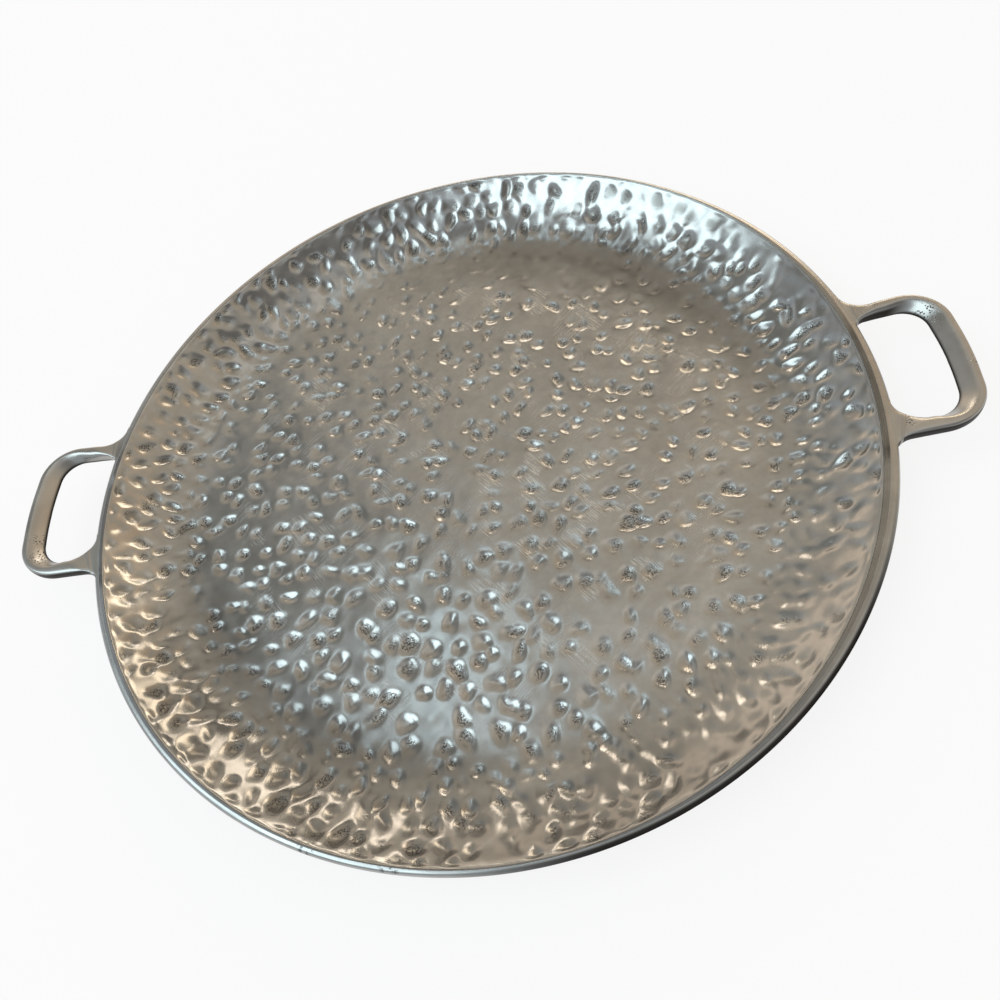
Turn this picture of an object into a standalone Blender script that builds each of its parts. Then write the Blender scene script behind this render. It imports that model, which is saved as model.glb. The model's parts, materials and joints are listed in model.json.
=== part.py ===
"""Round hammered serving tray: a shallow cast dish with two loop handles welded to its rim.

Metres, +Z up. The tray stands on the flat underside of the dish, whose centre is the origin,
and +X runs out through the middle of the right handle.
"""
import math

import bmesh
import bpy
from mathutils import Vector

MM = 0.001

# Dish
RIM_RADIUS = 203.0 * MM
RIM_BAND_WIDTH = 7.0 * MM
RIM_THICKNESS = 4.5 * MM
RIM_EDGE_RADIUS = 1.5 * MM
WELL_DEPTH = 23.0 * MM
METAL_THICKNESS = 3.5 * MM
WALL_SLOPE = math.radians(42.0)
FLOOR_FILLET = 30.0 * MM
LIP_FILLET = 8.0 * MM
UNDER_LIP_FILLET = 4.0 * MM

# Handles: sizes in plan, then the section and how it meets the rim
HANDLE_WIDTH = 80.5 * MM
HANDLE_REACH = 40.8 * MM
ARM_WIDTH = 8.5 * MM
GRIP_WIDTH = 11.5 * MM
GRIP_BOW = 3.2 * MM
GRIP_BOW_RADIUS = 200.0 * MM
OUTER_CORNER_RADIUS = 21.0 * MM
INNER_CORNER_RADIUS = 12.0 * MM
OUTER_FOOT_FLARE = 6.5 * MM
INNER_FOOT_FLARE = 10.5 * MM
FOOT_LAND = 1.0 * MM
FOOT_OVERRUN = 8.0 * MM
HANDLE_THICKNESS = 6.5 * MM
HANDLE_EDGE_RADIUS = 2.4 * MM
HANDLE_LIFT = 1.5 * MM
HANDLE_TILT = math.radians(5.0)

# Weld seams between the rim's edge and the handles' feet
WELD_THICKNESS = 1.8 * MM
WELD_HEIGHT = 4.2 * MM
FIT_GAP = 0.3 * MM

# Facets
TURN_STEPS = 96
ARC_STEP = math.radians(11.0)
EDGE_RESOLUTION = 1
MERGE_DISTANCE = 0.01 * MM
CREASE_ANGLE = math.radians(50.0)
CUTTER_HEIGHT = 120.0 * MM

# Heights and radii that follow from the sizes above
RIM_TOP = METAL_THICKNESS + WELL_DEPTH
RIM_MIDDLE = RIM_TOP - RIM_THICKNESS / 2
FOOT_END_RADIUS = RIM_RADIUS + WELD_THICKNESS + 2 * FIT_GAP


def new_collection(name):
    """Add a collection to the scene."""
    collection = bpy.data.collections.new(name)
    bpy.context.scene.collection.children.link(collection)
    return collection


def metal(name, colour, roughness):
    """Make a bare metal material."""
    material = bpy.data.materials.new(name)
    material.use_nodes = True
    shader = material.node_tree.nodes["Principled BSDF"]
    shader.inputs["Base Color"].default_value = (*colour, 1.0)
    shader.inputs["Metallic"].default_value = 1.0
    shader.inputs["Roughness"].default_value = roughness
    return material


def corner_turn(before, at, after):
    """Return how far a path turns at a corner, in radians."""
    return (at - before).angle(after - at)


def corner_arc(before, at, after, reach):
    """Return the points of the arc that leaves each side of a corner at the given distance."""
    turn = corner_turn(before, at, after)
    inward = (before - at).normalized()
    onward = (after - at).normalized()
    radius = reach / math.tan(turn / 2)
    centre = at + (inward + onward).normalized() * (radius / math.cos(turn / 2))
    start = at + inward * reach - centre
    spin = math.copysign(turn, (-inward).cross(onward))
    steps = max(2, math.ceil(turn / ARC_STEP))
    points = []
    for step in range(steps + 1):
        angle = spin * step / steps
        across = Vector((-start.y, start.x))
        points.append(centre + start * math.cos(angle) + across * math.sin(angle))
    return points


def rounded_path(corners, closed):
    """Return the points of a path through (x, y, radius) corners, with each corner an arc.

    Two arcs that need more than the side between them share that side in proportion.
    """
    points = [Vector(corner[:2]) for corner in corners]
    count = len(points)
    reach = [0.0] * count
    for i, corner in enumerate(corners):
        inside = closed or 0 < i < count - 1
        if inside and corner[2] > 0:
            turn = corner_turn(points[i - 1], points[i], points[(i + 1) % count])
            reach[i] = corner[2] * math.tan(turn / 2)
    share = [1.0] * count
    for i in range(count if closed else count - 1):
        j = (i + 1) % count
        wanted = reach[i] + reach[j]
        length = (points[j] - points[i]).length
        if wanted > length:
            share[i] = min(share[i], length / wanted)
            share[j] = min(share[j], length / wanted)
    path = []
    for i, point in enumerate(points):
        if reach[i] > 0:
            after = points[(i + 1) % count]
            path.extend(corner_arc(points[i - 1], point, after, reach[i] * share[i]))
        else:
            path.append(point)
    return path


def turned(name, profile, collection):
    """Turn a profile of (radius, height) points about +Z into a solid."""
    mesh = bpy.data.meshes.new(name)
    edges = [(i, i + 1) for i in range(len(profile) - 1)]
    mesh.from_pydata([(point.x, 0.0, point.y) for point in profile], edges, [])
    solid = bpy.data.objects.new(name, mesh)
    collection.objects.link(solid)
    screw = solid.modifiers.new("turn", "SCREW")
    screw.steps = TURN_STEPS
    screw.render_steps = TURN_STEPS
    screw.use_merge_vertices = True
    screw.merge_threshold = MERGE_DISTANCE
    screw.use_smooth_shade = True
    return solid


def plate(name, outline, thickness, edge_radius, collection):
    """Extrude a flat outline into a plate with rounded edges, as a closed mesh about z = 0."""
    data = bpy.data.curves.new(name, "CURVE")
    data.dimensions = "2D"
    data.fill_mode = "BOTH"
    data.extrude = thickness / 2 - edge_radius
    data.bevel_depth = edge_radius
    data.bevel_resolution = EDGE_RESOLUTION
    data.offset = -edge_radius
    spline = data.splines.new("POLY")
    spline.points.add(len(outline) - 1)
    for spot, point in zip(spline.points, outline):
        spot.co = (point.x, point.y, 0.0, 1.0)
    spline.use_cyclic_u = True
    curve = bpy.data.objects.new(name + "_outline", data)
    collection.objects.link(curve)
    evaluated = curve.evaluated_get(bpy.context.evaluated_depsgraph_get())
    mesh = bpy.data.meshes.new_from_object(evaluated)
    mesh.name = name
    bpy.data.objects.remove(curve)
    build = bmesh.new()
    build.from_mesh(mesh)
    bmesh.ops.remove_doubles(build, verts=build.verts, dist=MERGE_DISTANCE)
    bmesh.ops.recalc_face_normals(build, faces=build.faces)
    build.to_mesh(mesh)
    build.free()
    mesh.shade_smooth()
    mesh.set_sharp_from_angle(angle=CREASE_ANGLE)
    solid = bpy.data.objects.new(name, mesh)
    collection.objects.link(solid)
    return solid


def dish_profile():
    """Return the dish's half section: inside, over the rim, and back along the underside."""
    inside_lip = RIM_RADIUS - RIM_BAND_WIDTH
    inside_toe = inside_lip - WELL_DEPTH / math.tan(WALL_SLOPE)
    wall_shift = METAL_THICKNESS / math.sin(WALL_SLOPE)
    wall_top = inside_lip + wall_shift

    def underside_radius(height):
        return wall_top - (RIM_TOP - height) / math.tan(WALL_SLOPE)

    rim_bottom = RIM_TOP - RIM_THICKNESS
    corners = [
        (0.0, METAL_THICKNESS, 0.0),
        (inside_toe, METAL_THICKNESS, FLOOR_FILLET),
        (inside_lip, RIM_TOP, LIP_FILLET),
        (RIM_RADIUS, RIM_TOP, RIM_EDGE_RADIUS),
        (RIM_RADIUS, rim_bottom, RIM_EDGE_RADIUS),
        (underside_radius(rim_bottom), rim_bottom, UNDER_LIP_FILLET),
        (underside_radius(0.0), 0.0, FLOOR_FILLET + METAL_THICKNESS),
        (0.0, 0.0, 0.0),
    ]
    return rounded_path(corners, closed=False)


def foot_frame():
    """Return the radial and tangential directions of the rim where a handle's far arm meets it."""
    arm_middle = (HANDLE_WIDTH - ARM_WIDTH) / 2
    angle = math.asin(arm_middle / RIM_RADIUS)
    radial = Vector((math.cos(angle), math.sin(angle)))
    return radial, Vector((-radial.y, radial.x))


def foot_corners():
    """Return the corners where the far arm's edges, extended, meet its foot, and the foot's tips."""
    radial, tangent = foot_frame()
    on_land = radial * (FOOT_END_RADIUS + FOOT_LAND)

    def at_side(side):
        return on_land + tangent * ((side - on_land.y) / tangent.y)

    outer = at_side(HANDLE_WIDTH / 2)
    inner = at_side(HANDLE_WIDTH / 2 - ARM_WIDTH)
    return outer, inner, outer + tangent * OUTER_FOOT_FLARE, inner - tangent * INNER_FOOT_FLARE


def flare_radius(flare, tip, corner):
    """Return the fillet radius that carries an arm's edge out to the tip of its foot."""
    along_arm = corner + Vector((1.0, 0.0))
    return flare / math.tan(corner_turn(tip, corner, along_arm) / 2)


def handle_outline():
    """Return the right handle's plan outline, its feet running on inside the rim to be trimmed."""
    radial, _ = foot_frame()
    outer, inner, outer_tip, inner_tip = foot_corners()
    overrun = radial * FOOT_OVERRUN
    outside = RIM_RADIUS + HANDLE_REACH
    inside = outside - GRIP_WIDTH
    half_width = HANDLE_WIDTH / 2
    far_outer = [
        (*(outer_tip - overrun), 0.0),
        (*outer_tip, 0.0),
        (*outer, flare_radius(OUTER_FOOT_FLARE, outer_tip, outer)),
        (outside - GRIP_BOW, half_width, OUTER_CORNER_RADIUS),
    ]
    far_inner = [
        (inside - GRIP_BOW, half_width - ARM_WIDTH, INNER_CORNER_RADIUS),
        (*inner, flare_radius(INNER_FOOT_FLARE, inner_tip, inner)),
        (*inner_tip, 0.0),
        (*(inner_tip - overrun), 0.0),
    ]

    def near(corners):
        return [(x, -y, radius) for x, y, radius in reversed(corners)]

    corners = far_outer + [(outside, 0.0, GRIP_BOW_RADIUS)] + near(far_outer)
    corners += near(far_inner) + [(inside, 0.0, GRIP_BOW_RADIUS - GRIP_WIDTH)] + far_inner
    return rounded_path(corners, closed=True)


def weld_outline():
    """Return the plan outline of the far weld of the right handle, a strip along the rim's edge."""
    _, _, outer_tip, inner_tip = foot_corners()
    start = math.atan2(inner_tip.y, inner_tip.x)
    sweep = math.atan2(outer_tip.y, outer_tip.x) - start
    steps = math.ceil(sweep / (math.tau / TURN_STEPS)) * 2
    inner_radius = RIM_RADIUS + FIT_GAP
    outer_radius = inner_radius + WELD_THICKNESS
    angles = [start + sweep * step / steps for step in range(steps + 1)]
    points = [Vector((math.cos(angle), math.sin(angle))) for angle in angles]
    return [p * inner_radius for p in points] + [p * outer_radius for p in reversed(points)]


def make_dish(collection, material):
    """Make the dish: floor, sloping wall and rim in one casting."""
    dish = turned("dish", dish_profile(), collection)
    dish.data.materials.append(material)


def make_handles(collection, rim_cutter, material):
    """Make both handles, each trimmed to stand clear of the rim by the thickness of its weld."""
    from_rim = [point - Vector((RIM_RADIUS, 0.0)) for point in handle_outline()]
    height = RIM_TOP + HANDLE_LIFT - HANDLE_THICKNESS / 2
    for name, side, turn in (("right_handle", 1.0, 0.0), ("left_handle", -1.0, math.pi)):
        handle = plate(name, from_rim, HANDLE_THICKNESS, HANDLE_EDGE_RADIUS, collection)
        handle.location = (side * RIM_RADIUS, 0.0, height)
        handle.rotation_euler = (0.0, -HANDLE_TILT, turn)
        handle.data.materials.append(material)
        trim = handle.modifiers.new("trim_to_rim", "BOOLEAN")
        trim.operation = "DIFFERENCE"
        trim.solver = "MANIFOLD"
        trim.object = rim_cutter


def make_welds(collection, material):
    """Make the four weld seams, one between each handle's foot and the rim."""
    far = weld_outline()
    near = [Vector((point.x, -point.y)) for point in reversed(far)]
    places = (
        ("right_handle_rear_weld", far, 0.0),
        ("right_handle_front_weld", near, 0.0),
        ("left_handle_front_weld", far, math.pi),
        ("left_handle_rear_weld", near, math.pi),
    )
    for name, outline, turn in places:
        weld = plate(name, outline, WELD_HEIGHT, 0.0, collection)
        weld.location = (0.0, 0.0, RIM_MIDDLE)
        weld.rotation_euler = (0.0, 0.0, turn)
        weld.data.materials.append(material)


def make_rim_cutter(collection):
    """Make the drum that trims the handles' feet to the curve of the rim."""
    top = RIM_MIDDLE + CUTTER_HEIGHT / 2
    bottom = RIM_MIDDLE - CUTTER_HEIGHT / 2
    profile = [
        Vector((0.0, top)),
        Vector((FOOT_END_RADIUS, top)),
        Vector((FOOT_END_RADIUS, bottom)),
        Vector((0.0, bottom)),
    ]
    cutter = turned("rim_cutter", profile, collection)
    cutter.hide_render = True
    cutter.display_type = "WIRE"
    return cutter


def build_tray():
    """Make every piece of the tray."""
    for leftover in list(bpy.data.objects):
        bpy.data.objects.remove(leftover)
    tray = new_collection("hammered_serving_tray")
    cutters = new_collection("cutters")
    make_dish(tray, metal("hammered_aluminium", (0.50, 0.48, 0.45), 0.38))
    handle_metal = metal("satin_aluminium", (0.54, 0.52, 0.49), 0.32)
    make_handles(tray, make_rim_cutter(cutters), handle_metal)
    make_welds(tray, metal("weld_aluminium", (0.46, 0.44, 0.41), 0.45))


build_tray()
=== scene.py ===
"""A round hammered serving tray with two loop handles, dressed for its photograph.

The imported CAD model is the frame. Each piece here is a numpy surface laid over its CAD node:
the hammered dish, the two loop handles, and the four dressed welds between handles and rim.
Lengths are in metres and angles in radians.
"""
from __future__ import annotations

import json
import logging
import math
from dataclasses import dataclass
from enum import Enum
from functools import partial, reduce
from typing import Sequence, Union

import bpy
import numpy as np
from mathutils import Matrix, Vector

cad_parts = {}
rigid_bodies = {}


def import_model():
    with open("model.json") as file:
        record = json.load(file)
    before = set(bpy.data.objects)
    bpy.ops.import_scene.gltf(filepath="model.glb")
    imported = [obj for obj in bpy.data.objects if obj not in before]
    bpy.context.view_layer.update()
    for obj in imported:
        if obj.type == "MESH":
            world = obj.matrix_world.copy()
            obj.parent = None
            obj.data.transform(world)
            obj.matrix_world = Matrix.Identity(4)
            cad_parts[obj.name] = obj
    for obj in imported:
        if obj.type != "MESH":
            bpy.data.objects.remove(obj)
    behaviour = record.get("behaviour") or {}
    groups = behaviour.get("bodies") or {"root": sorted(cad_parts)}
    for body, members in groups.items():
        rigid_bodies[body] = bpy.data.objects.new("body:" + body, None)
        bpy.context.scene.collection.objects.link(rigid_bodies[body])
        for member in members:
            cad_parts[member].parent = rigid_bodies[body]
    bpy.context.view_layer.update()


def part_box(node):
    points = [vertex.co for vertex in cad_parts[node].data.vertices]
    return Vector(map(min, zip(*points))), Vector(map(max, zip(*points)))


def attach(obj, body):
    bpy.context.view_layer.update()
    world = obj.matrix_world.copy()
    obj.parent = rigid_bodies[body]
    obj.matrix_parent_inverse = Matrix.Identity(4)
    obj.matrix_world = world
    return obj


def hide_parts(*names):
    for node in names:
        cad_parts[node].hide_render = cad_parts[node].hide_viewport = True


for leftover in list(bpy.data.objects):
    bpy.data.objects.remove(leftover)
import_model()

MM = 0.001
DEG = math.pi / 180.0
USUAL_GLOSS = 0.5
NOISE_RANGE = (0.3, 0.7)
LOG = logging.getLogger("tray")

Array = np.ndarray
Colour = tuple[float, float, float]
Limits = tuple[float, float]
Pair = tuple[float, float]
Point = tuple[float, float, float]
Socket = bpy.types.NodeSocket
Value = Union[float, Sequence[float], Socket]


class Side(Enum):
    """The two ends of the tray's long axis, as the sign of X."""

    RIGHT = 1
    LEFT = -1


class Arm(Enum):
    """The two arms of a loop handle, as the sign of Y."""

    REAR = 1
    FRONT = -1


class Slot(Enum):
    """The record's material slots."""

    HAMMERED = "hammered_aluminium"
    SATIN = "satin_aluminium"
    WELD = "weld_aluminium"


def ease(value: Array, low: float, high: float) -> Array:
    """Rise smoothly from 0 at low to 1 at high, as 3t^2 - 2t^3.

    Args:
        value: The numbers to map.
        low: Where the rise begins.
        high: Where the rise ends; it may lie below low for a fall.

    Returns:
        The eased share of each number.
    """
    share = np.clip((value - low) / (high - low), 0.0, 1.0)
    return share * share * (3.0 - 2.0 * share)


def spread(draw: Array, limits: Limits) -> Array:
    """Spread draws between 0 and 1 evenly over the given limits."""
    return limits[0] + draw * (limits[1] - limits[0])


def fillet(before: Array, corner: Array, after: Array, radius: float, count: int) -> Array:
    """Round one corner of a flat path with a tangent arc.

    An arc of radius r at a turn of angle t leaves each side at r tan(t/2) from the corner. Its
    points turn evenly about the centre, which lies on the corner's bisector at r / cos(t/2).

    Args:
        before: The path's point before the corner.
        corner: The corner itself.
        after: The path's point after the corner.
        radius: The arc's radius.
        count: How many points the arc has.

    Returns:
        The arc's points, one row each.
    """
    inward = (before - corner) / np.linalg.norm(before - corner)
    onward = (after - corner) / np.linalg.norm(after - corner)
    turn = math.acos(float(np.clip(-inward @ onward, -1.0, 1.0)))
    bisector = (inward + onward) / np.linalg.norm(inward + onward)
    centre = corner + bisector * radius / math.cos(turn / 2)
    start = corner + inward * radius * math.tan(turn / 2) - centre
    across = np.array([-start[1], start[0]])
    spin = math.copysign(turn, onward[0] * inward[1] - onward[1] * inward[0])
    angle = np.linspace(0.0, spin, count)[:, None]
    return centre + start * np.cos(angle) + across * np.sin(angle)


def grid_faces(rows: int, columns: int, wrap_rows: bool, wrap_columns: bool) -> Array:
    """List the four-sided faces of a grid of points that is stored row by row.

    Args:
        rows: How many rows of points there are.
        columns: How many points a row has.
        wrap_rows: Whether the last row joins the first.
        wrap_columns: Whether each row's last point joins its first.

    Returns:
        The point numbers of each face, four to a row.
    """
    row = np.arange(rows if wrap_rows else rows - 1)[:, None]
    column = np.arange(columns if wrap_columns else columns - 1)[None, :]
    next_row, next_column = (row + 1) % rows, (column + 1) % columns
    corners = np.broadcast_arrays(
        row * columns + column,
        row * columns + next_column,
        next_row * columns + next_column,
        next_row * columns + column,
    )
    return np.stack([corner.ravel() for corner in corners], axis=1)


def fan_faces(ring: Array, pole: int) -> Array:
    """List the triangles that close a ring of points onto one pole."""
    return np.stack([ring, np.roll(ring, -1), np.full(len(ring), pole)], axis=1)


def closed_mesh(name: str, points: Array, quads: Array, triangles: Array) -> bpy.types.Object:
    """Make a smooth mesh object from a closed surface, with its faces turned outwards.

    The sum over all triangles of a . (b x c) / 6 is the volume that they enclose; where it is
    negative, every face is inside out, so each list of corners is reversed.

    Args:
        name: The object's name.
        points: The vertices, one row each.
        quads: The four-sided faces.
        triangles: The three-sided faces.

    Returns:
        The new object, linked to the scene.
    """
    halves = np.concatenate([quads[:, [0, 1, 2]], quads[:, [0, 2, 3]], triangles])
    a, b, c = (points[halves[:, k]] for k in range(3))
    volume = float(np.einsum("ij,ij->", a, np.cross(b, c))) / 6.0
    if volume < 0.0:
        quads, triangles = quads[:, ::-1], triangles[:, ::-1]
    mesh = bpy.data.meshes.new(name)
    mesh.vertices.add(len(points))
    mesh.vertices.foreach_set("co", points.astype(np.float32).ravel())
    corners = np.concatenate([quads.ravel(), triangles.ravel()]).astype(np.int32)
    sizes = np.repeat([4, 3], [len(quads), len(triangles)])
    mesh.loops.add(len(corners))
    mesh.loops.foreach_set("vertex_index", corners)
    mesh.polygons.add(len(sizes))
    mesh.polygons.foreach_set("loop_start", (np.cumsum(sizes) - sizes).astype(np.int32))
    mesh.update(calc_edges=True)
    mesh.validate()
    mesh.shade_smooth()
    piece = bpy.data.objects.new(name, mesh)
    bpy.context.scene.collection.objects.link(piece)
    return piece


def paint(piece: bpy.types.Object, name: str, values: Array) -> None:
    """Store one number per vertex as a named attribute for the finish to read."""
    layer = piece.data.attributes.new(name, "FLOAT", "POINT")
    layer.data.foreach_set("value", values.astype(np.float32))


@dataclass(frozen=True)
class Pit:
    """A pitted spot left by the casting, by its place in plan and its size."""

    x: float
    y: float
    radius: float


def pitted(pits: Sequence[Pit], points: Array) -> Array:
    """Say how pitted each point is: 1 at the middle of a spot, falling as exp(-(d/r)^4)."""
    nearest = np.min([np.hypot(points[:, 0] - pit.x, points[:, 1] - pit.y) / pit.radius
                      for pit in pits], axis=0)
    return np.exp(-nearest ** 4)


class ShaderGraph:
    """A set of shader nodes under construction, added and joined one call at a time."""

    def __init__(self, tree: bpy.types.NodeTree) -> None:
        """Take up the nodes of a material or of the world."""
        self.tree = tree

    def feed(self, socket: Socket, value: Value) -> None:
        """Join a socket to another one, or set it to a constant.

        Args:
            socket: The socket that takes the value.
            value: Another node's output, or the constant.
        """
        if isinstance(value, Socket):
            self.tree.links.new(value, socket)
        else:
            socket.default_value = value

    def add(self, kind: str, inputs: dict[Union[str, int], Value], output: Union[str, int] = 0,
            **settings: object) -> Socket:
        """Add a node.

        Args:
            kind: The node's type.
            inputs: What goes into its sockets, by name or number.
            output: The socket to hand back.
            settings: The node's own options.

        Returns:
            The chosen output socket.
        """
        node = self.tree.nodes.new(kind)
        for option, setting in settings.items():
            setattr(node, option, setting)
        for key, value in inputs.items():
            self.feed(node.inputs[key], value)
        return node.outputs[output]

    def place(self) -> Socket:
        """Give the position on the piece, in metres."""
        return self.add("ShaderNodeTexCoord", {}, "Object")

    def painted(self, name: str) -> Socket:
        """Give the number that the mesh stores at each point under a name."""
        return self.add("ShaderNodeAttribute", {}, "Fac", attribute_name=name)

    def maths(self, operation: str, first: Value, second: Value = 0.0) -> Socket:
        """Combine two numbers with one of the Math node's operations."""
        return self.add("ShaderNodeMath", {0: first, 1: second}, operation=operation)

    def total(self, *terms: Value) -> Socket:
        """Add up any count of numbers."""
        return reduce(partial(self.maths, "ADD"), terms)

    def product(self, *terms: Value) -> Socket:
        """Multiply any count of numbers."""
        return reduce(partial(self.maths, "MULTIPLY"), terms)

    def ramp(self, value: Value, low: float, high: float, start: float = 0.0,
             end: float = 1.0) -> Socket:
        """Ease from one number to another as a value goes from low to high.

        Args:
            value: The value to follow.
            low: Where the rise begins.
            high: Where it ends.
            start: The result at or before low.
            end: The result at or after high.

        Returns:
            The eased number.
        """
        limits = {"Value": value, "From Min": low, "From Max": high, "To Min": start, "To Max": end}
        return self.add("ShaderNodeMapRange", limits, interpolation_type="SMOOTHSTEP")

    def rest(self, share: Value) -> Socket:
        """Give what a share leaves of 1."""
        return self.maths("SUBTRACT", 1.0, share)

    def blend(self, share: Value, first: Value, second: Value) -> Socket:
        """Mix two numbers."""
        return self.add("ShaderNodeMix", {0: share, 2: first, 3: second}, 0, data_type="FLOAT")

    def tint(self, share: Value, first: Value, second: Value, blend_type: str = "MIX") -> Socket:
        """Mix two colours."""
        return self.add("ShaderNodeMix", {0: share, 6: first, 7: second}, 2, data_type="RGBA",
                        blend_type=blend_type)

    def shaded(self, colour: Value, level: Value) -> Socket:
        """Multiply all three parts of a colour by one level."""
        grey = self.add("ShaderNodeCombineXYZ", {"X": level, "Y": level, "Z": level})
        return self.tint(1.0, colour, grey, "MULTIPLY")

    def noise(self, vector: Value, scale: float, detail: float = 2.0,
              roughness: float = 0.5) -> Socket:
        """Give a cloudy pattern about 0.5, with the given count of features to a metre."""
        inputs = {"Vector": vector, "Scale": scale, "Detail": detail, "Roughness": roughness}
        return self.add("ShaderNodeTexNoise", inputs, "Fac")

    def specks(self, vector: Value, scale: float, low: float, high: float) -> Socket:
        """Give round specks, one to each cell of a random pattern.

        Args:
            vector: The position.
            scale: How many cells there are to a metre.
            low: The radius, in cells, up to which a speck is full.
            high: The radius past which it is gone.

        Returns:
            1 on a speck, 0 elsewhere.
        """
        inputs = {"Vector": vector, "Scale": scale, "Randomness": 1.0}
        distance = self.add("ShaderNodeTexVoronoi", inputs, "Distance")
        return self.ramp(distance, low, high, 1.0, 0.0)

    def strokes(self, vector: Value, angle: float, width: float, length: float) -> Socket:
        """Give fine parallel strokes across the XY plane.

        The pattern is a noise that is squeezed to the stroke's width one way and stretched to
        its length the other way, turned by the given angle.

        Args:
            vector: The position.
            angle: The strokes' direction.
            width: How wide a stroke is.
            length: How long it is.

        Returns:
            The strokes, about 0.5.
        """
        turned = self.add("ShaderNodeMapping", {"Vector": vector, "Rotation": (0.0, 0.0, -angle)})
        sized = self.add("ShaderNodeMapping", {
            "Vector": turned, "Scale": (1.0 / length, 1.0 / width, 1.0 / length)})
        return self.noise(sized, 1.0, 1.0)

    def bare_metal(self, colour: Value, roughness: Value, height: Value, bare: Value = 1.0) -> None:
        """Join worked-out patterns to the Principled shader as a bare metal.

        Args:
            colour: The metal's colour.
            roughness: Its roughness.
            height: Its fine relief in metres, which tilts the shading normal.
            bare: 1 where the metal is bright, 0 where it is matt and without gloss, as on a painted dark
                edge.
        """
        relief = {"Strength": 1.0, "Distance": 1.0, "Height": height}
        sockets = self.tree.nodes["Principled BSDF"].inputs
        self.feed(sockets["Base Color"], colour)
        self.feed(sockets["Roughness"], roughness)
        self.feed(sockets["Normal"], self.add("ShaderNodeBump", relief, "Normal"))
        self.feed(sockets["Metallic"], bare)
        self.feed(sockets["Specular IOR Level"], self.product(bare, USUAL_GLOSS))


def new_material(name: str) -> tuple[bpy.types.Material, ShaderGraph]:
    """Start a material made of nodes.

    Args:
        name: The material's name.

    Returns:
        The material, and the graph to build its nodes with.
    """
    material = bpy.data.materials.new(name)
    material.use_nodes = True
    return material, ShaderGraph(material.node_tree)


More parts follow.
